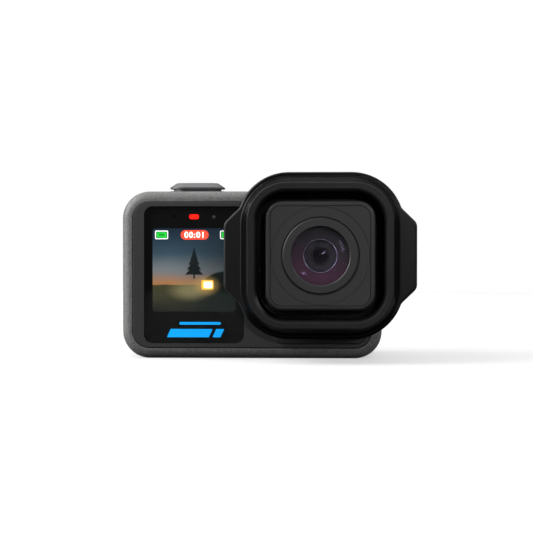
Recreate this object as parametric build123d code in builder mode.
"""Action camera: a waterproof box camera with a colour screen on its front, folding mount fingers
under it, a side door over the battery and ports, and a winged wide-angle lens that twists on.

Frame: +Z up, the lens looks along -Y, +X is on the right of someone who faces the lens.
The origin is the mouth of the tripod thread, in the middle of the case's flat underside.
All sizes are in millimetres.
"""

import os

from math import radians, tan

from build123d import *

os.makedirs("parts", exist_ok=True)

# --- case ---------------------------------------------------------------------------------------
body_width = 71.8
body_height = 46.2
body_depth = 27.0
corner_radius = 7.5  # of the outline, seen from the front
front_round = 2.6
rear_round = 2.2
side_wall = 3.9
top_wall = 3.8
floor_wall = 5.6  # deep enough to take the folding mount
cavity_corner = 2.5
seat_gap = 0.05  # between fixed pieces that drop into each other
show_gap = 0.10  # joint lines that are meant to be seen

# --- front cover and front screen -----------------------------------------------------------------
cover_inset = 2.85
cover_thickness = 2.2
lens_from_right = 17.1
lens_below_top = 17.7
glass_left_margin = 6.2
glass_edge_margin = 4.2  # above and below
glass_to_lens = 20.95
glass_corner = 2.4
glass_thickness = 0.9
mask_thickness = 0.12
screen_side_most = 23.0  # what lights up
screen_margins = 14.8  # glass above and below it, at least
screen_above_middle = 1.35
screen_corner = 0.9
module_border = 1.4  # the display's frame, hidden behind the black print
module_thickness = 1.7
light_width = 2.6
light_height = 1.3
light_below_glass_top = 2.85
mic_offset = 5.45  # from the light, to each side
mic_radius = 0.45
dot_radius = 0.5

# --- lens seat on the body ------------------------------------------------------------------------
plinth_half_width = 13.2
plinth_height = 1.6
plinth_bottom_margin = 1.35  # above the front cover's lower edge
plinth_top_margin = 0.5
plinth_corner = 3.2
ring_outer = 12.6
ring_thickness = 1.8
ring_flange = 0.7
ring_throat = 9.95
ring_channel = 11.35
lug_angle = 52.0
lug_side = tan(radians(lug_angle / 2))
notch_angle = 58.0
notch_side = tan(radians(notch_angle / 2))
ring_screw_angle = 25.0
screw_head = 0.6
screw_shank = 0.36
barrel_radius = 8.5
barrel_front_drop = 1.1  # below the plinth's front
barrel_length = 17.0
barrel_wall = 1.1
barrel_flange = 11.0
barrel_flange_thickness = 1.5
sensor_size = 16.0
sensor_board_size = 19.6
board_thickness = 0.8

# --- screen on the back ---------------------------------------------------------------------------
rear_glass_inset = 2.7
rear_glass_thickness = 1.2
rear_module_thickness = 1.6
rear_module_margin = 4.5
spreader_thickness = 0.8
spreader_margin = 1.2

# --- boards, battery, ports -----------------------------------------------------------------------
board_zone = 7.6  # depth between the front cover and the battery tray
tray_wall = 0.8
battery_gap = 0.15
battery_round = 1.6
tab_thickness = 0.3
port_setback = 0.5  # sockets behind the inside of the door
usb_width = 9.0
usb_thickness = 3.2
usb_depth = 7.3
usb_plug_width = 8.4
usb_plug_thickness = 2.6
card_width = 11.0
card_length = 15.0
card_thickness = 0.9
card_travel = 0.8
socket_wall = 0.5
chip_height = 1.0
port_z = 8.0  # underside of the lowest port
port_pitch = 3.4

# --- shutter button -------------------------------------------------------------------------------
shutter_from_left = 19.9
shutter_length = 15.5
shutter_width = 11.0
shutter_corner = 4.6
collar_wall = 0.85
collar_stand = 0.40
collar_depth = 1.2
cap_gap = 0.65
cap_height = 1.65
cap_shoulder = 1.9  # how far the cap's sloped edge comes in
cap_slope = 1.25  # and how far down it goes
shutter_travel = 0.6
slide_gap = 0.2
seal_groove = 0.6
seal_height = 0.9

# --- mode button ----------------------------------------------------------------------------------
mode_length = 11.0
mode_width = 4.6
mode_stand = 0.55
mode_travel = 0.5
mode_flange = 0.8
mode_flange_lip = 0.8
mode_z = 27.0
switch_thickness = 1.3

# --- speaker --------------------------------------------------------------------------------------
speaker_z = 13.0
speaker_length = 13.0
speaker_height = 8.0
speaker_depth = 3.0
slot_length = 5.0
slot_height = 0.9
slot_pitch = 2.2
mesh_thickness = 0.3

# --- side door ------------------------------------------------------------------------------------
door_front_margin = 3.7
door_rear_margin = 3.1
door_bottom = 3.4
door_thickness = 2.1
door_corner = 2.4
door_gap = 0.15
hinge_inset = 1.05  # hinge line behind the case's side
hinge_below_top = 6.0
knuckle_radius = 0.9
pin_radius = 0.45
pin_clearance = 0.05
swing_relief = 1.45
knuckle_length = 4.8
bay_margin = 1.25  # door edge to battery opening
bay_bottom = 6.3
bay_below_hinge = 1.1
liner_depth = 0.9
seal_band = 1.0
seal_side_gap = 0.2

# --- door latch -----------------------------------------------------------------------------------
latch_width = 7.6
latch_height = 8.0
latch_bottom = 4.15
latch_thickness = 0.85
latch_travel = 0.7
lip_top = 6.1
lip_reach = 0.4  # beyond the case's side
latch_stem_width = 3.0
latch_stem_height = 2.2

# --- folding mount --------------------------------------------------------------------------------
finger_thickness = 3.0
finger_space = 3.1
finger_radius = 7.5
finger_hole = 2.6
finger_reach = 10.2  # hinge to hole
finger_set_in = 0.2  # folded fingers lie this far above the underside
finger_side_gap = 0.3
finger_pin = 0.6
finger_pin_clearance = 0.04
base_wall = 1.2
base_floor = 0.75
base_corner = 3.0
insert_radius = 3.9
insert_height = 5.0
thread_radius = 2.55
thread_depth = 4.5
insert_clearance = 0.5  # between the fingers' knuckles and the insert

# --- wide-angle lens ------------------------------------------------------------------------------
mod_lift = 0.3  # between the body's ring and the lens's base
base_half = 16.5
base_corner_mod = 8.0
base_thickness = 3.5
tube_outer = 9.85
tube_inner = 8.9
lug_radius = 11.2
lug_thickness = 0.8
hood_half = 22.3
hood_corner = 14.0
flange_thickness = 6.1
flange_round = 0.75
hood_floor = 1.2
tower_foot_half = 21.2
tower_foot_corner = 13.1
foot_round = 0.3
rim_half = 19.2
rim_corner = 10.2
rim_height = 7.0  # above the flange
rim_round = 0.3
well_half = 16.7
well_corner = 7.7
well_bevel = 0.9
well_bevel_depth = 0.45
pad_width = 21.3
pad_height = 1.15
pad_stand = 0.15
pad_slant = 0.9
pad_inner = 17.68
wing_tip = 25.75
wing_flat = 8.7
wing_root = 13.1
wing_root_x = 21.2
wing_round = 2.4
wing_inner_round = 2.5
block_half = 14.45
block_corner = 4.5
block_round = 0.9
block_below_rim = 1.0
plate_half = 13.15
plate_corner = 3.0
plate_thickness = 0.85
line_width = 0.14
line_depth = 0.25
circle_radius = 12.95
ring_hole = 10.35
lens_ring_outer = 9.95
lens_ring_inner = 7.7
lens_ring_bevel = 0.2
mod_barrel_outer = 12.0
mod_barrel_inner = 9.2
dome_radius = 24.0
dome_back_radius = 13.0
dome_thickness = 1.3
crown_stand = 0.7  # crown in front of the block's face
baffle_hole = 4.15
baffle_thickness = 0.6
mod_screw_offset = 12.3
mod_screw_head = 1.3
mod_screw_shank = 0.8

# --- places worked out from the sizes ---------------------------------------------------------------
left_x = -body_width / 2
right_x = body_width / 2
front_y = -body_depth / 2
rear_y = body_depth / 2
middle_z = body_height / 2
lens_x = right_x - lens_from_right
lens_z = body_height - lens_below_top
cover_back_y = front_y + cover_thickness
cavity_left = left_x + side_wall
cavity_right = right_x - side_wall
cavity_top = body_height - top_wall
cavity_width = cavity_right - cavity_left
cavity_height = cavity_top - floor_wall
cavity_z = (cavity_top + floor_wall) / 2
rear_seat_y = rear_y - rear_glass_thickness


def facing(y):
    """A sketch plane at depth y: its X is X, its Y is Z, and extruding comes forward, along -Y."""
    return Plane.XZ.offset(-y)


def save(part, name):
    """Names a finished piece and writes it."""
    part.label = name
    export_step(part, f"parts/{name}.step")


# --- the case's outer form, which the housing and the door share ------------------------------------
with BuildPart() as case_form:
    with BuildSketch(facing(rear_y)):
        with Locations((0, middle_z)):
            RectangleRounded(body_width, body_height, corner_radius)
    extrude(amount=body_depth)
    fillet(case_form.faces().sort_by(Axis.Y)[0].edges(), radius=front_round)
    fillet(case_form.faces().sort_by(Axis.Y)[-1].edges(), radius=rear_round)

# --- places for the door ----------------------------------------------------------------------------
door_front_y = front_y + door_front_margin
door_rear_y = rear_y - door_rear_margin
door_y = (door_front_y + door_rear_y) / 2
door_width = door_rear_y - door_front_y
hinge_x = left_x + hinge_inset
hinge_z = body_height - hinge_below_top
door_inner_x = left_x + door_thickness
bay_width = door_width - 2 * bay_margin
bay_top = hinge_z - bay_below_hinge
bay_height = bay_top - bay_bottom
bay_z = (bay_top + bay_bottom) / 2
lug_length = door_width - 2 * knuckle_length - 4 * door_gap

# --- places for the shutter and the mode button -----------------------------------------------------
shutter_x = left_x + shutter_from_left
plunger_length = shutter_length - 2 * (collar_wall + slide_gap)
plunger_width = shutter_width - 2 * (collar_wall + slide_gap)
plunger_corner = shutter_corner - collar_wall - slide_gap
throat_length = shutter_length - 2 * collar_wall
throat_width = shutter_width - 2 * collar_wall
throat_corner = shutter_corner - collar_wall
collar_bottom = body_height - collar_depth
collar_top = body_height + collar_stand
cap_bottom = collar_top + cap_gap
cap_top = cap_bottom + cap_height
plunger_bottom = cavity_top + 0.5
mode_y = 0.5

# --- places for the folding mount -------------------------------------------------------------------
finger_axis_x = (finger_space + finger_thickness) / 2
finger_axis_z = finger_set_in + finger_thickness / 2
recess_depth = finger_set_in + finger_thickness + finger_side_gap
recess_length = 2 * (finger_axis_x + finger_reach + finger_radius + finger_side_gap)
recess_width = 2 * (finger_radius + finger_side_gap)
mount_length = recess_length + 2 * base_wall
mount_width = recess_width + 2 * base_wall
mount_depth = recess_depth + base_floor
notch_half = insert_radius + insert_clearance
notch_reach = finger_axis_z + 0.35  # the plate starts this far from its hinge

# --- housing ----------------------------------------------------------------------------------------
cover_width = body_width - 2 * cover_inset
cover_height = body_height - 2 * cover_inset
cover_corner = corner_radius - cover_inset
rear_width = body_width - 2 * rear_glass_inset
rear_height = body_height - 2 * rear_glass_inset
rear_corner = corner_radius - rear_glass_inset

with BuildPart() as main_housing:
    add(case_form.part)
    with BuildSketch(facing(rear_y)):  # the cavity runs through from front to back
        with Locations((0, cavity_z)):
            RectangleRounded(cavity_width, cavity_height, cavity_corner)
    extrude(amount=body_depth, mode=Mode.SUBTRACT)
    with BuildSketch(facing(cover_back_y)):  # seat of the front cover
        with Locations((0, middle_z)):
            RectangleRounded(cover_width, cover_height, cover_corner)
    extrude(amount=cover_thickness, mode=Mode.SUBTRACT)
    with BuildSketch(facing(rear_y)):  # seat of the rear glass
        with Locations((0, middle_z)):
            RectangleRounded(rear_width, rear_height, rear_corner)
    extrude(amount=rear_glass_thickness, mode=Mode.SUBTRACT)
    with BuildSketch(Plane.YZ.offset(left_x - 1)) as door_seat:  # outer seat of the door
        with Locations((door_y, (door_bottom + hinge_z) / 2)):
            Rectangle(door_width + 2 * door_gap, hinge_z - door_bottom + 2 * door_gap)
        fillet(door_seat.vertices().group_by(Axis.Y)[0], radius=door_corner + door_gap)
    extrude(amount=1 + door_thickness + show_gap, mode=Mode.SUBTRACT)
    with BuildSketch(Plane.XZ.offset(-door_rear_y - door_gap)):  # room for the door's rolled top edge
        with Locations((hinge_x, hinge_z)):
            Circle(swing_relief)
    extrude(amount=door_width + 2 * door_gap, mode=Mode.SUBTRACT)
    with BuildSketch(Plane.YZ.offset(left_x)):  # opening onto the battery and ports
        with Locations((door_y, bay_z)):
            RectangleRounded(bay_width, bay_height, 1.6)
    extrude(amount=side_wall + 1, mode=Mode.SUBTRACT)
    with BuildSketch(Plane.XZ.offset(-door_y - lug_length / 2)):  # lug that carries the hinge pin
        with Locations((hinge_x, hinge_z)):
            Circle(knuckle_radius)
        with Locations((hinge_x + 0.9, hinge_z + 0.2)):
            Rectangle(1.8, 2 * knuckle_radius - 0.4)
    extrude(amount=lug_length)
    with BuildSketch(Plane.XZ.offset(-door_rear_y)):  # pin bore
        with Locations((hinge_x, hinge_z)):
            Circle(pin_radius)
    extrude(amount=door_width, mode=Mode.SUBTRACT)
    with BuildSketch(Plane.XY):  # pocket for the folding mount
        RectangleRounded(mount_length + 2 * seat_gap, mount_width + 2 * seat_gap, base_corner)
    extrude(amount=mount_depth + seat_gap, mode=Mode.SUBTRACT)
    with BuildSketch(Plane.XY.offset(mount_depth)):
        Circle(insert_radius + seat_gap)
    extrude(amount=insert_height + seat_gap - mount_depth, mode=Mode.SUBTRACT)
    with BuildSketch(Plane.XY.offset(collar_bottom)):  # seat of the shutter's collar
        with Locations((shutter_x, 0)):
            RectangleRounded(shutter_length, shutter_width, shutter_corner)
    extrude(amount=top_wall, mode=Mode.SUBTRACT)
    with BuildSketch(Plane.XY.offset(cavity_top - 1)):  # bore of the shutter's plunger
        with Locations((shutter_x, 0)):
            RectangleRounded(throat_length, throat_width, throat_corner)
    extrude(amount=top_wall + 1, mode=Mode.SUBTRACT)
    with BuildSketch(Plane.YZ.offset(cavity_right - 1)):  # mode button's bore
        with Locations((mode_y, mode_z)):
            RectangleRounded(
                mode_width + 2 * slide_gap, mode_length + 2 * slide_gap, mode_width / 2
            )
    extrude(amount=side_wall + 2, mode=Mode.SUBTRACT)
    with BuildSketch(Plane.YZ.offset(cavity_right - 1)):  # and the room behind for its flange
        with Locations((mode_y, mode_z)):
            RectangleRounded(
                mode_width + 2 * (mode_flange_lip + slide_gap),
                mode_length + 2 * (mode_flange_lip + slide_gap),
                mode_width / 2 + mode_flange_lip,
            )
    extrude(amount=1 + 1.75, mode=Mode.SUBTRACT)
    with BuildSketch(Plane.YZ.offset(cavity_right - 1)):  # speaker slots
        with Locations((mode_y, speaker_z)):
            with GridLocations(0, slot_pitch, 1, 3):
                SlotOverall(slot_length, slot_height)
    extrude(amount=side_wall + 2, mode=Mode.SUBTRACT)
    with BuildSketch(Plane.XY.offset(cavity_top - 1)):  # top microphone
        with Locations((lens_x, 4.0)):
            Circle(mic_radius)
    extrude(amount=top_wall + 2, mode=Mode.SUBTRACT)
save(main_housing.part, "main_housing")

# --- front cover: bezel, screen window and the plinth that carries the lens ring -----------------------
glass_left = left_x + glass_left_margin
glass_right = lens_x - glass_to_lens
glass_width = glass_right - glass_left
glass_x = (glass_left + glass_right) / 2
glass_height = body_height - 2 * glass_edge_margin
screen_z = middle_z + screen_above_middle
screen_side = min(screen_side_most, glass_height - screen_margins)
glass_back_y = front_y + glass_thickness
mask_back_y = glass_back_y + mask_thickness
module_width = screen_side + 2 * module_border
light_z = middle_z + glass_height / 2 - light_below_glass_top
plinth_bottom = cover_inset + plinth_bottom_margin
plinth_top = body_height - cover_inset - plinth_top_margin
plinth_front_y = front_y - plinth_height
ring_back_y = plinth_front_y + ring_thickness
ring_screw_ring = (ring_channel + ring_outer) / 2

with BuildPart() as front_cover:
    with BuildSketch(facing(cover_back_y)):
        with Locations((0, middle_z)):
            RectangleRounded(
                cover_width - 2 * show_gap, cover_height - 2 * show_gap, cover_corner - show_gap
            )
    extrude(amount=cover_thickness)
    fillet(front_cover.faces().sort_by(Axis.Y)[0].edges(), radius=0.3)
    with BuildSketch(facing(cover_back_y)):
        with Locations((lens_x, (plinth_bottom + plinth_top) / 2)):
            RectangleRounded(2 * plinth_half_width, plinth_top - plinth_bottom, plinth_corner)
    extrude(amount=cover_thickness + plinth_height)
    fillet(front_cover.faces().sort_by(Axis.Y)[0].edges(), radius=0.5)
    with BuildSketch(facing(mask_back_y)):  # seat of the glass
        with Locations((glass_x, middle_z)):
            RectangleRounded(glass_width + 2 * seat_gap, glass_height + 2 * seat_gap, glass_corner)
    extrude(amount=glass_thickness + mask_thickness + 1, mode=Mode.SUBTRACT)
    with BuildSketch(facing(cover_back_y)):  # opening for the display module
        with Locations((glass_x, screen_z)):
            RectangleRounded(module_width + 2 * seat_gap, module_width + 2 * seat_gap, 1.0)
    extrude(amount=cover_thickness, mode=Mode.SUBTRACT)
    with BuildSketch(facing(cover_back_y)):  # bores of the light, the microphone and the light sensor
        with Locations((glass_x, light_z)):
            RectangleRounded(light_width + 2 * seat_gap, light_height + 2 * seat_gap, 0.5)
        with Locations((glass_x - mic_offset, light_z), (glass_x + mic_offset, light_z)):
            Circle(dot_radius + seat_gap)
    extrude(amount=cover_thickness, mode=Mode.SUBTRACT)
    with BuildSketch(facing(ring_back_y)):  # seat of the lens ring
        with Locations((lens_x, lens_z)):
            Circle(ring_outer + seat_gap)
    extrude(amount=ring_thickness + 1, mode=Mode.SUBTRACT)
    with BuildSketch(facing(cover_back_y)):  # the camera's own lens shows through
        with Locations((lens_x, lens_z)):
            Circle(barrel_radius + 0.35)
    extrude(amount=cover_thickness, mode=Mode.SUBTRACT)
    with BuildSketch(facing(cover_back_y)):
        with Locations((lens_x, lens_z)):
            with PolarLocations(ring_screw_ring, 4, start_angle=ring_screw_angle):
                Circle(screw_shank)
    extrude(amount=cover_thickness, mode=Mode.SUBTRACT)
save(front_cover.part, "front_cover")

with BuildPart() as front_glass:
    with BuildSketch(facing(glass_back_y)):
        with Locations((glass_x, middle_z)):
            RectangleRounded(glass_width, glass_height, glass_corner - seat_gap)
    extrude(amount=glass_thickness)
    chamfer(front_glass.faces().sort_by(Axis.Y)[0].edges(), length=0.12)
    with BuildSketch(facing(glass_back_y)):
        with Locations((glass_x - mic_offset, light_z)):
            Circle(mic_radius)
    extrude(amount=glass_thickness, mode=Mode.SUBTRACT)
save(front_glass.part, "front_glass")

with BuildPart() as front_mask:  # black print on the back of the glass
    with BuildSketch(facing(mask_back_y)):
        with Locations((glass_x, middle_z)):
            RectangleRounded(glass_width, glass_height, glass_corner - seat_gap)
        with Locations((glass_x, screen_z)):
            RectangleRounded(screen_side, screen_side, screen_corner, mode=Mode.SUBTRACT)
        with Locations((glass_x, light_z)):
            RectangleRounded(light_width, light_height, 0.45, mode=Mode.SUBTRACT)
        with Locations((glass_x - mic_offset, light_z)):
            Circle(mic_radius, mode=Mode.SUBTRACT)
        with Locations((glass_x + mic_offset, light_z)):
            Circle(dot_radius, mode=Mode.SUBTRACT)
    extrude(amount=mask_thickness)
save(front_mask.part, "front_mask")

with BuildPart() as front_display:
    with BuildSketch(facing(mask_back_y + module_thickness)):
        with Locations((glass_x, screen_z)):
            RectangleRounded(module_width, module_width, 0.9)
    extrude(amount=module_thickness)
save(front_display.part, "front_display")

with BuildPart() as status_light:
    with BuildSketch(facing(cover_back_y)):
        with Locations((glass_x, light_z)):
            RectangleRounded(light_width, light_height, 0.45)
    extrude(amount=cover_back_y - mask_back_y)
    with BuildSketch(facing(cover_back_y + 0.6)):
        with Locations((glass_x, light_z)):
            RectangleRounded(light_width + 1.2, light_height + 1.0, 0.5)
    extrude(amount=0.6)
save(status_light.part, "status_light")

with BuildPart() as microphones:  # front capsule, light sensor, and the capsule under the top hole
    with BuildSketch(facing(cover_back_y)):
        with Locations((glass_x + mic_offset, light_z)):
            Circle(dot_radius)
    extrude(amount=cover_back_y - mask_back_y)
    with BuildSketch(facing(cover_back_y + 1.0)):
        with Locations((glass_x + mic_offset, light_z), (glass_x - mic_offset, light_z)):
            RectangleRounded(3.2, 2.4, 0.4)
    extrude(amount=1.0)
    with BuildSketch(Plane.XY.offset(cavity_top - 1.1)):
        with Locations((lens_x, 4.0)):
            RectangleRounded(3.4, 2.6, 0.4)
    extrude(amount=1.1)
save(microphones.part, "microphones")

# --- the case's own lens --------------------------------------------------------------------------------
barrel_front_y = plinth_front_y + barrel_front_drop
barrel_back_y = barrel_front_y + barrel_length
barrel_bore = barrel_radius - barrel_wall

with BuildPart() as lens_ring:
    with BuildSketch(facing(ring_back_y)):
        with Locations((lens_x, lens_z)):
            Circle(ring_outer)
    extrude(amount=ring_thickness)
    with BuildSketch(facing(ring_back_y)):  # channel behind the flange, for the lugs
        with Locations((lens_x, lens_z)):
            Circle(ring_channel)
    extrude(amount=ring_thickness - ring_flange, mode=Mode.SUBTRACT)
    with BuildSketch(facing(ring_back_y)):  # throat
        with Locations((lens_x, lens_z)):
            Circle(ring_throat)
    extrude(amount=ring_thickness, mode=Mode.SUBTRACT)
    with BuildSketch(facing(ring_back_y)):  # entry notches, a quarter turn from the locked lugs
        with Locations((lens_x, lens_z)):
            with PolarLocations(0, 3, start_angle=90):
                Polygon(
                    (0, 0),
                    (ring_channel, ring_channel * notch_side),
                    (ring_channel, -ring_channel * notch_side),
                    align=None,
                )
            Circle(ring_channel, mode=Mode.INTERSECT)
    extrude(amount=ring_thickness, mode=Mode.SUBTRACT)
    with BuildSketch(facing(ring_back_y)):
        with Locations((lens_x, lens_z)):
            with PolarLocations(ring_screw_ring, 4, start_angle=ring_screw_angle):
                Circle(screw_shank)
    extrude(amount=ring_thickness, mode=Mode.SUBTRACT)
    with BuildSketch(facing(plinth_front_y + ring_flange / 2)):
        with Locations((lens_x, lens_z)):
            with PolarLocations(ring_screw_ring, 4, start_angle=ring_screw_angle):
                Circle(screw_head)
    extrude(amount=ring_flange, mode=Mode.SUBTRACT)
save(lens_ring.part, "lens_ring")

with BuildPart() as ring_screws:
    with BuildSketch(facing(cover_back_y)):
        with Locations((lens_x, lens_z)):
            with PolarLocations(ring_screw_ring, 4, start_angle=ring_screw_angle):
                Circle(screw_shank)
    extrude(amount=cover_back_y - plinth_front_y - ring_flange / 4)
    with BuildSketch(facing(plinth_front_y + ring_flange / 2)):
        with Locations((lens_x, lens_z)):
            with PolarLocations(ring_screw_ring, 4, start_angle=ring_screw_angle):
                Circle(screw_head)
    extrude(amount=ring_flange / 4)
save(ring_screws.part, "ring_screws")

with BuildPart() as camera_barrel:
    with BuildSketch(facing(barrel_back_y)):
        with Locations((lens_x, lens_z)):
            Circle(barrel_radius)
    extrude(amount=barrel_length)
    with BuildSketch(facing(cover_back_y + barrel_flange_thickness)):  # flange behind the cover
        with Locations((lens_x, lens_z)):
            Circle(barrel_flange)
    extrude(amount=barrel_flange_thickness)
    with BuildSketch(facing(barrel_back_y)):
        with Locations((lens_x, lens_z)):
            Circle(barrel_bore)
    extrude(amount=barrel_length, mode=Mode.SUBTRACT)
save(camera_barrel.part, "camera_barrel")

with BuildPart() as camera_window:
    with BuildSketch(facing(barrel_front_y + 1.4)):
        with Locations((lens_x, lens_z)):
            Circle(barrel_bore)
    extrude(amount=1.2)
save(camera_window.part, "camera_window")

with BuildPart() as camera_elements:  # three glasses, thick in the middle
    for drop, thick in ((4.5, 3.0), (9.0, 2.4), (13.5, 2.0)):
        with BuildSketch(facing(barrel_front_y + drop + thick / 2)):
            with Locations((lens_x, lens_z)):
                Circle(barrel_bore)
        extrude(amount=thick)
        with Locations((lens_x, barrel_front_y + drop, lens_z)):
            Sphere(barrel_bore * 0.33)
save(camera_elements.part, "camera_elements")

with BuildPart() as image_sensor:
    with BuildSketch(facing(barrel_back_y + 1.0)):
        with Locations((lens_x, lens_z)):
            RectangleRounded(sensor_size, sensor_size, 0.4)
    extrude(amount=1.0)
save(image_sensor.part, "image_sensor")

sensor_board_y = barrel_back_y + 1.0 + board_thickness

with BuildPart() as sensor_board:
    with BuildSketch(facing(sensor_board_y)):
        with Locations((lens_x, lens_z)):
            RectangleRounded(sensor_board_size, sensor_board_size, 1.0)
    extrude(amount=board_thickness)
save(sensor_board.part, "sensor_board")

# --- screen on the back -----------------------------------------------------------------------------------
rear_module_y = rear_seat_y - rear_module_thickness
spreader_y = rear_module_y - spreader_thickness
rear_screen_width = cavity_width - 2 * rear_module_margin - 2.4
rear_screen_height = cavity_height - 2 * rear_module_margin - 2.4 + 4.0

with BuildPart() as rear_glass:
    with BuildSketch(facing(rear_y)):
        with Locations((0, middle_z)):
            RectangleRounded(
                rear_width - 2 * show_gap, rear_height - 2 * show_gap, rear_corner - show_gap
            )
    extrude(amount=rear_glass_thickness - mask_thickness)
    chamfer(rear_glass.faces().sort_by(Axis.Y)[-1].edges(), length=0.2)
save(rear_glass.part, "rear_glass")

with BuildPart() as rear_mask:
    with BuildSketch(facing(rear_seat_y + mask_thickness)):
        with Locations((0, middle_z)):
            RectangleRounded(
                rear_width - 2 * show_gap, rear_height - 2 * show_gap, rear_corner - show_gap
            )
        with Locations((0, cavity_z)):
            RectangleRounded(rear_screen_width, rear_screen_height, 1.0, mode=Mode.SUBTRACT)
    extrude(amount=mask_thickness)
save(rear_mask.part, "rear_mask")

with BuildPart() as rear_display:
    with BuildSketch(facing(rear_seat_y)):
        with Locations((0, cavity_z)):
            RectangleRounded(rear_screen_width + 2.4, rear_screen_height + 2.4, 1.0)
    extrude(amount=rear_module_thickness)
save(rear_display.part, "rear_display")

with BuildPart() as heat_spreader:
    with BuildSketch(facing(rear_module_y)):
        with Locations((0, cavity_z)):
            RectangleRounded(
                cavity_width - 2 * spreader_margin, cavity_height - 2 * spreader_margin, 1.5
            )
    extrude(amount=spreader_thickness)
save(heat_spreader.part, "heat_spreader")

# --- battery ------------------------------------------------------------------------------------------------
tray_front_y = cover_back_y + board_zone
battery_left_x = door_inner_x + liner_depth + 0.5
battery_right_x = lens_x - barrel_radius - 3.2
battery_length = battery_right_x - battery_left_x
tray_end_x = battery_right_x + 0.6
tray_mouth_top = bay_top
bay_rear_y = door_y + bay_width / 2
battery_front_y = tray_front_y + tray_wall + battery_gap
battery_rear_y = bay_rear_y - battery_gap
battery_y = (battery_front_y + battery_rear_y) / 2
battery_depth = battery_rear_y - battery_front_y
battery_height = bay_height - 2 * battery_gap
tray_top = tray_mouth_top + tray_wall

with BuildPart() as battery_tray:
    with BuildSketch(facing(spreader_y)) as tray_outline:
        with Locations(((cavity_left + tray_end_x + tray_wall) / 2, (floor_wall + tray_top) / 2)):
            Rectangle(tray_end_x + tray_wall - cavity_left, tray_top - floor_wall)
        corner = tray_outline.vertices().sort_by(Axis.X)[:2].sort_by(Axis.Y)[:1]
        fillet(corner, radius=cavity_corner)
    extrude(amount=spreader_y - tray_front_y)
    with BuildSketch(Plane.YZ.offset(cavity_left)):
        with Locations((battery_y, bay_z)):
            RectangleRounded(battery_depth + 2 * battery_gap, bay_height, battery_round)
    extrude(amount=tray_end_x - cavity_left, mode=Mode.SUBTRACT)
save(battery_tray.part, "battery_tray")

with BuildPart() as battery:
    with BuildSketch(Plane.YZ.offset(battery_left_x)):
        with Locations((battery_y, bay_z)):
            RectangleRounded(battery_depth, battery_height, battery_round)
    extrude(amount=battery_length)
    chamfer(battery.faces().sort_by(Axis.X)[-1].edges(), length=0.4)
save(battery.part, "battery")

with BuildPart() as battery_tab:
    with BuildSketch(Plane.YZ.offset(battery_left_x - tab_thickness)):
        with Locations((battery_y, bay_z + battery_height * 0.3)):
            RectangleRounded(battery_depth * 0.6, battery_height * 0.3, 1.5)
    extrude(amount=tab_thickness)
save(battery_tab.part, "battery_tab")

with BuildPart() as battery_contacts:
    with BuildSketch(Plane.YZ.offset(battery_right_x)):
        with Locations((battery_y, bay_bottom + bay_height * 0.25)):
            with GridLocations(1.6, 0, 5, 1):
                Rectangle(0.8, 3.0)
    extrude(amount=tray_end_x - battery_right_x)
save(battery_contacts.part, "battery_contacts")

# --- boards, ports and card -----------------------------------------------------------------------------------
port_board_y = tray_front_y
socket_y = port_board_y - board_thickness
port_face_x = cavity_left + port_setback
usb_z = port_z + usb_width / 2
card_z = port_z + usb_width + port_pitch + card_width / 2
usb_y = socket_y - usb_thickness / 2
card_y = socket_y - socket_wall - 0.1 - card_thickness / 2
card_socket_thickness = card_thickness + 2 * (socket_wall + 0.1)
card_left_x = port_face_x - 0.9

with BuildPart() as port_board:
    with BuildSketch(facing(port_board_y)):
        with Locations((port_face_x + 11.0, (port_z + card_z + card_width / 2) / 2)):
            Rectangle(22.0, card_z + card_width / 2 - port_z + 2.0)
    extrude(amount=board_thickness)
save(port_board.part, "port_board")

with BuildPart() as usb_socket:
    with BuildSketch(Plane.YZ.offset(port_face_x)):
        with Locations((usb_y, usb_z)):
            RectangleRounded(usb_thickness, usb_width, usb_thickness / 2 - 0.02)
    extrude(amount=usb_depth)
    with BuildSketch(Plane.YZ.offset(port_face_x)):
        with Locations((usb_y, usb_z)):
            RectangleRounded(usb_plug_thickness, usb_plug_width, usb_plug_thickness / 2 - 0.02)
    extrude(amount=usb_depth - 0.8, mode=Mode.SUBTRACT)
    with BuildSketch(Plane.YZ.offset(port_face_x + 0.6)):  # tongue with the contacts
        with Locations((usb_y, usb_z)):
            Rectangle(0.7, usb_plug_width - 1.7)
    extrude(amount=usb_depth - 0.6)
save(usb_socket.part, "usb_socket")

with BuildPart() as card_socket:
    with BuildSketch(Plane.YZ.offset(port_face_x)):
        with Locations((card_y, card_z)):
            Rectangle(card_socket_thickness, card_width + 2 * (socket_wall + 0.1))
    extrude(amount=card_length + card_travel)
    with BuildSketch(Plane.YZ.offset(port_face_x)):
        with Locations((card_y, card_z)):
            Rectangle(card_thickness + 0.2, card_width + 0.2)
    extrude(amount=card_length + card_travel - 0.7, mode=Mode.SUBTRACT)
save(card_socket.part, "card_socket")

with BuildPart() as memory_card:
    with BuildSketch(facing(card_y + card_thickness / 2)) as card_outline:
        with Locations((card_left_x + card_length / 2, card_z)):
            Rectangle(card_length, card_width)
        chamfer(card_outline.vertices().sort_by(Axis.X)[-1:], length=1.4)
    extrude(amount=card_thickness)
save(memory_card.part, "memory_card")

board_left_x = tray_end_x + tray_wall + 0.4
board_right_x = cavity_right - 0.6
board_bottom = floor_wall + 0.8
board_top = cavity_top - 1.0
main_board_y = spreader_y - chip_height

with BuildPart() as main_board:
    with BuildSketch(facing(main_board_y)):
        with Locations(((board_left_x + board_right_x) / 2, (board_bottom + board_top) / 2)):
            RectangleRounded(board_right_x - board_left_x, board_top - board_bottom, 1.0)
    extrude(amount=board_thickness)
save(main_board.part, "main_board")

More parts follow.
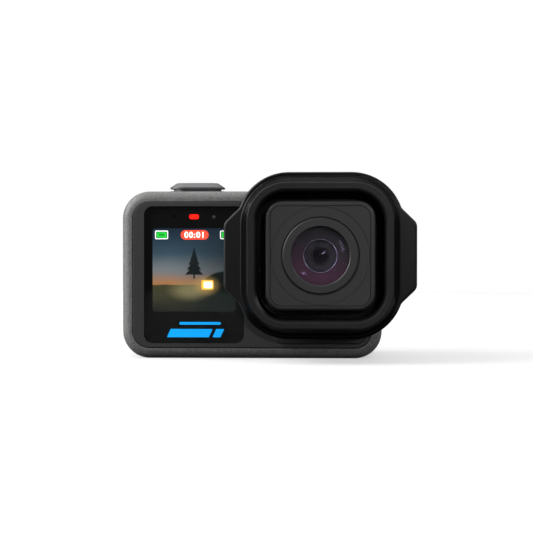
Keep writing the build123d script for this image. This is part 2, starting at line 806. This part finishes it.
with BuildPart() as chips:
    with BuildSketch(facing(spreader_y)):
        with Locations((lens_x, lens_z + 3.0)):
            Rectangle(11.0, 11.0)
        with Locations((lens_x - 1.0, lens_z - 11.0)):
            Rectangle(9.0, 8.0)
    extrude(amount=chip_height)
save(chips.part, "chips")

with BuildPart() as board_connector:
    with BuildSketch(facing(main_board_y - board_thickness)):
        with Locations((lens_x, lens_z - sensor_board_size / 2 + 3.0)):
            Rectangle(9.0, 2.6)
    extrude(amount=main_board_y - board_thickness - sensor_board_y)
save(board_connector.part, "board_connector")

# --- speaker --------------------------------------------------------------------------------------------------
with BuildPart() as speaker_mesh:
    with BuildSketch(Plane.YZ.offset(cavity_right - mesh_thickness)):
        with Locations((mode_y, speaker_z)):
            Rectangle(slot_length + 2.0, speaker_height)
    extrude(amount=mesh_thickness)
save(speaker_mesh.part, "speaker_mesh")

with BuildPart() as speaker:
    with BuildSketch(Plane.YZ.offset(cavity_right - mesh_thickness - speaker_depth)):
        with Locations((mode_y, speaker_z)):
            RectangleRounded(speaker_length, speaker_height, 1.2)
    extrude(amount=speaker_depth)
save(speaker.part, "speaker")

# --- shutter button ---------------------------------------------------------------------------------------------
with BuildPart() as shutter_collar:
    with BuildSketch(Plane.XY.offset(collar_bottom)):
        with Locations((shutter_x, 0)):
            RectangleRounded(
                shutter_length - 2 * seat_gap, shutter_width - 2 * seat_gap, shutter_corner - seat_gap
            )
            RectangleRounded(throat_length, throat_width, throat_corner, mode=Mode.SUBTRACT)
    extrude(amount=collar_depth + collar_stand)
save(shutter_collar.part, "shutter_collar")

groove_bottom = cavity_top + 1.1

with BuildPart() as shutter_button:
    with BuildSketch(Plane.XY.offset(plunger_bottom)):
        with Locations((shutter_x, 0)):
            RectangleRounded(plunger_length, plunger_width, plunger_corner)
    extrude(amount=cap_bottom - plunger_bottom)
    with BuildSketch(Plane.XY.offset(groove_bottom)):  # groove of the seal
        with Locations((shutter_x, 0)):
            RectangleRounded(plunger_length, plunger_width, plunger_corner)
            RectangleRounded(
                plunger_length - 2 * seal_groove,
                plunger_width - 2 * seal_groove,
                plunger_corner - seal_groove,
                mode=Mode.SUBTRACT,
            )
    extrude(amount=seal_height, mode=Mode.SUBTRACT)
    with BuildSketch(Plane.XY.offset(cap_bottom)):
        with Locations((shutter_x, 0)):
            RectangleRounded(shutter_length, shutter_width, shutter_corner)
    extrude(amount=cap_height - cap_slope)
    with BuildSketch(Plane.XY.offset(cap_top - cap_slope)):
        with Locations((shutter_x, 0)):
            RectangleRounded(shutter_length, shutter_width, shutter_corner)
    with BuildSketch(Plane.XY.offset(cap_top)):
        with Locations((shutter_x, 0)):
            RectangleRounded(
                shutter_length - 2 * cap_shoulder,
                shutter_width - 2 * cap_shoulder,
                shutter_corner - cap_shoulder,
            )
    loft()
    fillet(shutter_button.faces().sort_by(Axis.Z)[-1].edges(), radius=0.45)
save(shutter_button.part, "shutter_button")

with BuildPart() as shutter_seal:
    with BuildSketch(Plane.XY.offset(groove_bottom)):
        with Locations((shutter_x, 0)):
            RectangleRounded(
                throat_length - 2 * seat_gap, throat_width - 2 * seat_gap, throat_corner - seat_gap
            )
            RectangleRounded(
                plunger_length - 2 * seal_groove,
                plunger_width - 2 * seal_groove,
                plunger_corner - seal_groove,
                mode=Mode.SUBTRACT,
            )
    extrude(amount=seal_height)
save(shutter_seal.part, "shutter_seal")

switch_top = plunger_bottom - shutter_travel - 0.1

with BuildPart() as shutter_switch:
    with BuildSketch(Plane.XY.offset(tray_top)):
        with Locations((shutter_x, 1.5)):
            RectangleRounded(5.2, 5.2, 0.5)
    extrude(amount=(switch_top - tray_top) * 0.7)
    with BuildSketch(Plane.XY.offset(tray_top)):
        with Locations((shutter_x, 1.5)):
            Circle(1.4)
    extrude(amount=switch_top - tray_top)
save(shutter_switch.part, "shutter_switch")

# --- mode button ------------------------------------------------------------------------------------------------
mode_shoulder_x = cavity_right + 1.75

with BuildPart() as mode_button:
    with BuildSketch(Plane.YZ.offset(mode_shoulder_x - mode_flange)):
        with Locations((mode_y, mode_z)):
            RectangleRounded(
                mode_width + 2 * mode_flange_lip,
                mode_length + 2 * mode_flange_lip,
                mode_width / 2 + mode_flange_lip - slide_gap,
            )
    extrude(amount=mode_flange)
    with BuildSketch(Plane.YZ.offset(mode_shoulder_x)):
        with Locations((mode_y, mode_z)):
            RectangleRounded(mode_width, mode_length, mode_width / 2 - 0.05)
    extrude(amount=right_x + mode_stand - mode_shoulder_x)
    fillet(mode_button.faces().sort_by(Axis.X)[-1].edges(), radius=0.5)
save(mode_button.part, "mode_button")

mode_switch_x = mode_shoulder_x - mode_flange - mode_travel - 0.1

with BuildPart() as mode_switch:
    with BuildSketch(Plane.YZ.offset(mode_switch_x - switch_thickness)):
        with Locations((mode_y, mode_z)):
            RectangleRounded(3.4, 5.0, 0.5)
    extrude(amount=switch_thickness * 0.7)
    with BuildSketch(Plane.YZ.offset(mode_switch_x - switch_thickness)):
        with Locations((mode_y, mode_z)):
            Circle(1.0)
    extrude(amount=switch_thickness)
save(mode_switch.part, "mode_switch")

# --- folding mount ------------------------------------------------------------------------------------------------
with BuildPart() as mount_base:
    with BuildSketch(Plane.XY):
        RectangleRounded(mount_length, mount_width, base_corner)
    extrude(amount=mount_depth)
    with BuildSketch(Plane.XY):
        RectangleRounded(recess_length, recess_width, finger_radius)
    extrude(amount=recess_depth, mode=Mode.SUBTRACT)
    with BuildSketch(Plane.XY.offset(recess_depth)):
        Circle(insert_radius + seat_gap)
    extrude(amount=base_floor, mode=Mode.SUBTRACT)
    with BuildSketch(Plane.XZ.offset(-mount_width / 2)):  # bores of the finger pins
        with Locations((-finger_axis_x, finger_axis_z), (finger_axis_x, finger_axis_z)):
            Circle(finger_pin)
    extrude(amount=mount_width, mode=Mode.SUBTRACT)
save(mount_base.part, "mount_base")

with BuildPart() as tripod_insert:
    with BuildSketch(Plane.XY):
        Circle(insert_radius)
    extrude(amount=insert_height)
    with BuildSketch(Plane.XY):
        Circle(thread_radius)
    extrude(amount=thread_depth, mode=Mode.SUBTRACT)
save(tripod_insert.part, "tripod_insert")

with BuildPart() as finger_pins:
    for side in (-1, 1):
        with BuildSketch(Plane.XZ.offset(-mount_width / 2)):
            with Locations((side * finger_axis_x, finger_axis_z)):
                Circle(finger_pin)
        extrude(amount=mount_width)
    with BuildSketch(Plane.XY):  # the pins stop short of the insert
        Rectangle(mount_length, 2 * notch_half)
    extrude(amount=mount_depth, mode=Mode.SUBTRACT)
save(finger_pins.part, "finger_pins")


def finger(side):
    """One prong: an eye with a screw hole and two knuckles that straddle the tripod insert."""
    hinge = side * finger_axis_x
    eye = side * (finger_axis_x + finger_reach)
    with BuildPart() as prong:
        with BuildSketch(Plane.XY.offset(finger_set_in)):
            with Locations((eye, 0)):
                Circle(finger_radius)
            with Locations(((hinge + eye) / 2, 0)):
                Rectangle(finger_reach, 2 * finger_radius)
        extrude(amount=finger_thickness)
        with BuildSketch(Plane.XZ.offset(-finger_radius)):
            with Locations((hinge, finger_axis_z)):
                Circle(finger_thickness / 2)
        extrude(amount=2 * finger_radius)
        with BuildSketch(Plane.XY):
            with Locations((hinge + side * (notch_reach - finger_thickness) / 2, 0)):
                Rectangle(notch_reach + finger_thickness, 2 * notch_half)
            with Locations((eye, 0)):
                Circle(finger_hole)
        extrude(amount=finger_axis_z + finger_thickness, mode=Mode.SUBTRACT)
        with BuildSketch(Plane.XZ.offset(-finger_radius)):
            with Locations((hinge, finger_axis_z)):
                Circle(finger_pin + finger_pin_clearance)
        extrude(amount=2 * finger_radius, mode=Mode.SUBTRACT)
    return prong.part


save(finger(-1), "finger_left")
save(finger(1), "finger_right")

# --- side door ------------------------------------------------------------------------------------------------------
latch_top = latch_bottom + latch_height
latch_back_x = left_x + latch_thickness
stem_z = bay_bottom + 3.6

with BuildPart() as side_door:
    add(case_form.part)
    with BuildSketch(Plane.YZ.offset(left_x - 1)) as door_outline:
        with Locations((door_y, (door_bottom + hinge_z) / 2)):
            Rectangle(door_width, hinge_z - door_bottom)
        fillet(door_outline.vertices().group_by(Axis.Y)[0], radius=door_corner)
    extrude(amount=1 + door_thickness, mode=Mode.INTERSECT)
    for end in (door_rear_y, door_front_y + knuckle_length):
        with BuildSketch(Plane.XZ.offset(-end)):
            with Locations((hinge_x, hinge_z)):
                Circle(knuckle_radius)
        extrude(amount=knuckle_length)
    with BuildSketch(Plane.XZ.offset(-door_y - lug_length / 2 - 2 * door_gap)):  # room for the lug
        with Locations((hinge_x, hinge_z)):
            Circle(knuckle_radius + 2 * door_gap)
            Rectangle(2 * door_thickness, 2 * knuckle_radius)
    extrude(amount=lug_length + 4 * door_gap, mode=Mode.SUBTRACT)
    with BuildSketch(Plane.XZ.offset(-door_rear_y)):
        with Locations((hinge_x, hinge_z)):
            Circle(pin_radius + pin_clearance)
    extrude(amount=door_width, mode=Mode.SUBTRACT)
    with BuildSketch(Plane.YZ.offset(left_x - 1)):  # pocket of the latch, open at the bottom
        with Locations((door_y, (latch_top + 0.15) / 2)):
            Rectangle(latch_width + 2 * door_gap, latch_top + 0.15)
    extrude(amount=1 + latch_thickness + 0.1, mode=Mode.SUBTRACT)
    with BuildSketch(Plane.YZ.offset(left_x)):  # slot of its stem
        with Locations((door_y, stem_z - latch_travel / 2)):
            Rectangle(latch_stem_width + 0.3, latch_stem_height + latch_travel + 0.3)
    extrude(amount=door_thickness + 1, mode=Mode.SUBTRACT)
save(side_door.part, "side_door")

liner_width = bay_width - 2 * (seal_side_gap + seal_band)
liner_height = bay_height - 2 * (seal_side_gap + seal_band)

with BuildPart() as door_liner:
    with BuildSketch(Plane.YZ.offset(door_inner_x)):
        with Locations((door_y, bay_z)):
            RectangleRounded(liner_width, liner_height, 1.0)
    extrude(amount=liner_depth)
    with BuildSketch(Plane.YZ.offset(door_inner_x)):  # pocket that the latch's stem runs in
        with Locations((door_y, stem_z - latch_travel / 2)):
            Rectangle(latch_stem_width + 1.0, latch_stem_height + latch_travel + 1.0)
    extrude(amount=liner_depth * 0.6, mode=Mode.SUBTRACT)
save(door_liner.part, "door_liner")

with BuildPart() as door_seal:
    with BuildSketch(Plane.YZ.offset(door_inner_x)):
        with Locations((door_y, bay_z)):
            RectangleRounded(bay_width - 2 * seal_side_gap, bay_height - 2 * seal_side_gap, 1.4)
            RectangleRounded(liner_width, liner_height, 1.0, mode=Mode.SUBTRACT)
    extrude(amount=liner_depth * 0.75)
save(door_seal.part, "door_seal")

with BuildPart() as door_latch:
    add(case_form.part)
    with BuildSketch(Plane.YZ.offset(left_x - 1)):
        with Locations((door_y, (latch_bottom + latch_top) / 2)):
            Rectangle(latch_width, latch_height)
    extrude(amount=1 + latch_thickness, mode=Mode.INTERSECT)
    with BuildSketch(Plane.XZ.offset(-door_y - latch_width / 2)):  # lip for a fingernail
        Polygon(
            (latch_back_x, lip_top),
            (left_x - 0.05, lip_top),
            (left_x - lip_reach, lip_top - 0.25),
            (left_x + 0.2, latch_bottom),
            (latch_back_x, latch_bottom),
            align=None,
        )
    extrude(amount=latch_width)
    with BuildSketch(Plane.YZ.offset(latch_back_x - 0.2)):
        with Locations((door_y, stem_z)):
            Rectangle(latch_stem_width, latch_stem_height)
    extrude(amount=door_inner_x - latch_back_x + 0.2 + liner_depth * 0.4)
save(door_latch.part, "door_latch")

with BuildPart() as door_pin:
    with BuildSketch(Plane.XZ.offset(-door_rear_y + 0.3)):
        with Locations((hinge_x, hinge_z)):
            Circle(pin_radius)
    extrude(amount=door_width - 0.6)
save(door_pin.part, "door_pin")

# --- wide-angle lens --------------------------------------------------------------------------------------------------
base_back_y = plinth_front_y - mod_lift
hood_back_y = base_back_y - base_thickness
flange_front_y = hood_back_y - flange_thickness
rim_y = flange_front_y - rim_height
well_floor_y = hood_back_y - hood_floor
block_front_y = rim_y + block_below_rim
plate_front_y = block_front_y + 0.05
plate_back_y = plate_front_y + plate_thickness
lug_back_y = ring_back_y - 0.2
crown_y = block_front_y - crown_stand

with BuildPart() as mod_base:
    with BuildSketch(facing(base_back_y)):
        with Locations((lens_x, lens_z)):
            RectangleRounded(2 * base_half, 2 * base_half, base_corner_mod)
    extrude(amount=base_thickness)
    chamfer(mod_base.faces().sort_by(Axis.Y)[-1].edges(), length=0.5)
    with BuildSketch(facing(lug_back_y)):
        with Locations((lens_x, lens_z)):
            Circle(tube_outer)
    extrude(amount=lug_back_y - base_back_y)
    with BuildSketch(facing(lug_back_y)):  # three lugs
        with Locations((lens_x, lens_z)):
            with PolarLocations(0, 3):
                Polygon(
                    (0, 0),
                    (2 * lug_radius, 2 * lug_radius * lug_side),
                    (2 * lug_radius, -2 * lug_radius * lug_side),
                    align=None,
                )
            Circle(lug_radius, mode=Mode.INTERSECT)
    extrude(amount=lug_thickness)
    with BuildSketch(facing(lug_back_y)):
        with Locations((lens_x, lens_z)):
            Circle(tube_inner)
    extrude(amount=lug_back_y - hood_back_y, mode=Mode.SUBTRACT)
    with BuildSketch(facing(base_back_y)):
        with Locations((lens_x, lens_z)):
            with GridLocations(2 * mod_screw_offset, 2 * mod_screw_offset, 2, 2):
                Circle(mod_screw_shank)
    extrude(amount=base_thickness, mode=Mode.SUBTRACT)
    with BuildSketch(facing(base_back_y)):
        with Locations((lens_x, lens_z)):
            with GridLocations(2 * mod_screw_offset, 2 * mod_screw_offset, 2, 2):
                Circle(mod_screw_head)
    extrude(amount=1.2, mode=Mode.SUBTRACT)
save(mod_base.part, "mod_base")


def is_wing_root(corner):
    """True for the inside corners where a wing's slope meets the hood's round corner."""
    across = abs(abs(corner.X - lens_x) - wing_root_x)
    up = abs(abs(corner.Y - lens_z) - wing_root)
    return across < 0.6 and up < 0.6


def is_tower_foot(edge):
    """True for the edges where the tower rises from the flange."""
    box = edge.bounding_box()
    across = max(abs(box.min.X - lens_x), abs(box.max.X - lens_x))
    up = max(abs(box.min.Z - lens_z), abs(box.max.Z - lens_z))
    return max(across, up) < tower_foot_half + 0.05


with BuildPart() as mod_hood:
    with BuildSketch(facing(hood_back_y)) as hood_outline:
        with Locations((lens_x, lens_z)):
            RectangleRounded(2 * hood_half, 2 * hood_half, hood_corner)
            Polygon(
                (-wing_tip, -wing_flat),
                (-wing_root_x, -wing_root),
                (wing_root_x, -wing_root),
                (wing_tip, -wing_flat),
                (wing_tip, wing_flat),
                (wing_root_x, wing_root),
                (-wing_root_x, wing_root),
                (-wing_tip, wing_flat),
            )
        for end in (0, -1):
            fillet(hood_outline.vertices().group_by(Axis.X)[end], radius=wing_round)
        roots = hood_outline.vertices().filter_by(is_wing_root)
        fillet(roots, radius=wing_inner_round)
    extrude(amount=flange_thickness)
    fillet(mod_hood.faces().sort_by(Axis.Y)[0].edges(), radius=flange_round)
    with BuildSketch(facing(flange_front_y)):
        with Locations((lens_x, lens_z)):
            RectangleRounded(2 * tower_foot_half, 2 * tower_foot_half, tower_foot_corner)
    with BuildSketch(facing(rim_y)):
        with Locations((lens_x, lens_z)):
            RectangleRounded(2 * rim_half, 2 * rim_half, rim_corner)
    loft()
    fillet(mod_hood.faces().sort_by(Axis.Y)[0].edges(), radius=rim_round)
    flange_edges = mod_hood.edges().filter_by_position(
        Axis.Y, flange_front_y - 0.01, flange_front_y + 0.01
    )
    fillet(flange_edges.filter_by(is_tower_foot), radius=foot_round)
    with BuildSketch(facing(well_floor_y)):
        with Locations((lens_x, lens_z)):
            RectangleRounded(2 * well_half, 2 * well_half, well_corner)
    extrude(amount=well_floor_y - rim_y, mode=Mode.SUBTRACT)
    with BuildSketch(facing(rim_y + well_bevel_depth)):
        with Locations((lens_x, lens_z)):
            RectangleRounded(2 * well_half, 2 * well_half, well_corner)
    with BuildSketch(facing(rim_y)):
        with Locations((lens_x, lens_z)):
            RectangleRounded(
                2 * (well_half + well_bevel), 2 * (well_half + well_bevel), well_corner + well_bevel
            )
    loft(mode=Mode.SUBTRACT)
    with BuildSketch(facing(hood_back_y)):
        with Locations((lens_x, lens_z)):
            Circle(mod_barrel_outer + seat_gap)
            with GridLocations(2 * mod_screw_offset, 2 * mod_screw_offset, 2, 2):
                Circle(mod_screw_shank)
    extrude(amount=hood_floor, mode=Mode.SUBTRACT)
save(mod_hood.part, "mod_hood")

with BuildPart() as mod_pads:
    for side in (-1, 1):
        with BuildSketch(facing(rim_y)):
            with Locations((lens_x, lens_z)):
                Polygon(
                    (-pad_width / 2 + pad_slant, side * (pad_inner + pad_height)),
                    (pad_width / 2 - pad_slant, side * (pad_inner + pad_height)),
                    (pad_width / 2, side * pad_inner),
                    (-pad_width / 2, side * pad_inner),
                    align=None,
                )
    extrude(amount=pad_stand)
save(mod_pads.part, "mod_pads")

with BuildPart() as mod_block:
    with BuildSketch(facing(well_floor_y)):
        with Locations((lens_x, lens_z)):
            RectangleRounded(2 * block_half, 2 * block_half, block_corner)
    extrude(amount=well_floor_y - block_front_y)
    fillet(mod_block.faces().sort_by(Axis.Y)[0].edges(), radius=block_round)
    with BuildSketch(facing(plate_back_y)):
        with Locations((lens_x, lens_z)):
            RectangleRounded(
                2 * (plate_half + seat_gap), 2 * (plate_half + seat_gap), plate_corner + seat_gap
            )
    extrude(amount=plate_thickness + 1, mode=Mode.SUBTRACT)
    with BuildSketch(facing(well_floor_y)):
        with Locations((lens_x, lens_z)):
            Circle(mod_barrel_outer + seat_gap)
    extrude(amount=well_floor_y - block_front_y, mode=Mode.SUBTRACT)
    with BuildSketch(facing(well_floor_y)):
        with Locations((lens_x, lens_z)):
            with GridLocations(2 * mod_screw_offset, 2 * mod_screw_offset, 2, 2):
                Circle(mod_screw_shank)
    extrude(amount=4.0, mode=Mode.SUBTRACT)
save(mod_block.part, "mod_block")

with BuildPart() as mod_plate:
    with BuildSketch(facing(plate_back_y)):
        with Locations((lens_x, lens_z)):
            RectangleRounded(2 * plate_half, 2 * plate_half, plate_corner)
            Circle(ring_hole, mode=Mode.SUBTRACT)
    extrude(amount=plate_thickness)
    chamfer(
        mod_plate.faces().sort_by(Axis.Y)[0].outer_wire().edges(), length=0.12
    )
    with BuildSketch(facing(plate_front_y + line_depth)):  # engraved circle
        with Locations((lens_x, lens_z)):
            Circle(circle_radius)
            Circle(circle_radius - line_width, mode=Mode.SUBTRACT)
    extrude(amount=line_depth, mode=Mode.SUBTRACT)
save(mod_plate.part, "mod_plate")

ring_front_y = block_front_y - 0.1
skirt_back_y = crown_y + dome_radius - (dome_radius**2 - mod_barrel_inner**2) ** 0.5

with BuildPart() as mod_lens_ring:
    with BuildSketch(facing(plate_back_y)):
        with Locations((lens_x, lens_z)):
            Circle(lens_ring_outer)
    extrude(amount=plate_back_y - ring_front_y)
    chamfer(mod_lens_ring.faces().sort_by(Axis.Y)[0].edges(), length=0.25)
    with BuildSketch(facing(skirt_back_y)):
        with Locations((lens_x, lens_z)):
            Circle(mod_barrel_inner)
    extrude(amount=skirt_back_y - plate_back_y)
    with BuildSketch(facing(skirt_back_y)):
        with Locations((lens_x, lens_z)):
            Circle(lens_ring_inner)
    extrude(amount=skirt_back_y - ring_front_y, mode=Mode.SUBTRACT)
    with BuildSketch(facing(ring_front_y + lens_ring_bevel)):
        with Locations((lens_x, lens_z)):
            Circle(lens_ring_inner)
    with BuildSketch(facing(ring_front_y)):
        with Locations((lens_x, lens_z)):
            Circle(lens_ring_inner + lens_ring_bevel)
    loft(mode=Mode.SUBTRACT)
    with Locations((lens_x, crown_y + dome_radius, lens_z)):
        Sphere(dome_radius, mode=Mode.SUBTRACT)
save(mod_lens_ring.part, "mod_lens_ring")

dome_back_y = skirt_back_y + dome_thickness

with BuildPart() as mod_dome:
    with BuildSketch(facing(dome_back_y)):
        with Locations((lens_x, lens_z)):
            Circle(mod_barrel_inner)
    extrude(amount=dome_back_y - crown_y)
    with Locations((lens_x, crown_y + dome_radius, lens_z)):
        Sphere(dome_radius, mode=Mode.INTERSECT)
    with Locations((lens_x, crown_y + dome_thickness + dome_back_radius, lens_z)):
        Sphere(dome_back_radius, mode=Mode.SUBTRACT)
save(mod_dome.part, "mod_dome")

with BuildPart() as mod_baffle:
    with BuildSketch(facing(dome_back_y + baffle_thickness)):
        with Locations((lens_x, lens_z)):
            Circle(mod_barrel_inner)
            Circle(baffle_hole, mode=Mode.SUBTRACT)
    extrude(amount=baffle_thickness)
save(mod_baffle.part, "mod_baffle")

with BuildPart() as mod_barrel:
    with BuildSketch(facing(hood_back_y)):
        with Locations((lens_x, lens_z)):
            Circle(mod_barrel_outer)
            Circle(mod_barrel_inner, mode=Mode.SUBTRACT)
    extrude(amount=hood_back_y - plate_back_y)
save(mod_barrel.part, "mod_barrel")

with BuildPart() as mod_elements:
    for drop, thick in ((3.2, 1.6), (7.2, 1.6)):
        with BuildSketch(facing(dome_back_y + drop + thick / 2)):
            with Locations((lens_x, lens_z)):
                Circle(mod_barrel_inner)
        extrude(amount=thick)
        with Locations((lens_x, dome_back_y + drop, lens_z)):
            Sphere(1.9)
save(mod_elements.part, "mod_elements")

with BuildPart() as mod_screws:
    with BuildSketch(facing(base_back_y)):
        with Locations((lens_x, lens_z)):
            with GridLocations(2 * mod_screw_offset, 2 * mod_screw_offset, 2, 2):
                Circle(mod_screw_shank)
    extrude(amount=base_back_y - well_floor_y + 3.5)
    with BuildSketch(facing(base_back_y)):
        with Locations((lens_x, lens_z)):
            with GridLocations(2 * mod_screw_offset, 2 * mod_screw_offset, 2, 2):
                Circle(mod_screw_head)
    extrude(amount=1.2)
    with BuildSketch(facing(base_back_y)):
        with Locations((lens_x, lens_z)):
            with GridLocations(2 * mod_screw_offset, 2 * mod_screw_offset, 2, 2):
                Circle(mod_screw_head + 0.1)
    extrude(amount=0.2, mode=Mode.SUBTRACT)
save(mod_screws.part, "mod_screws")
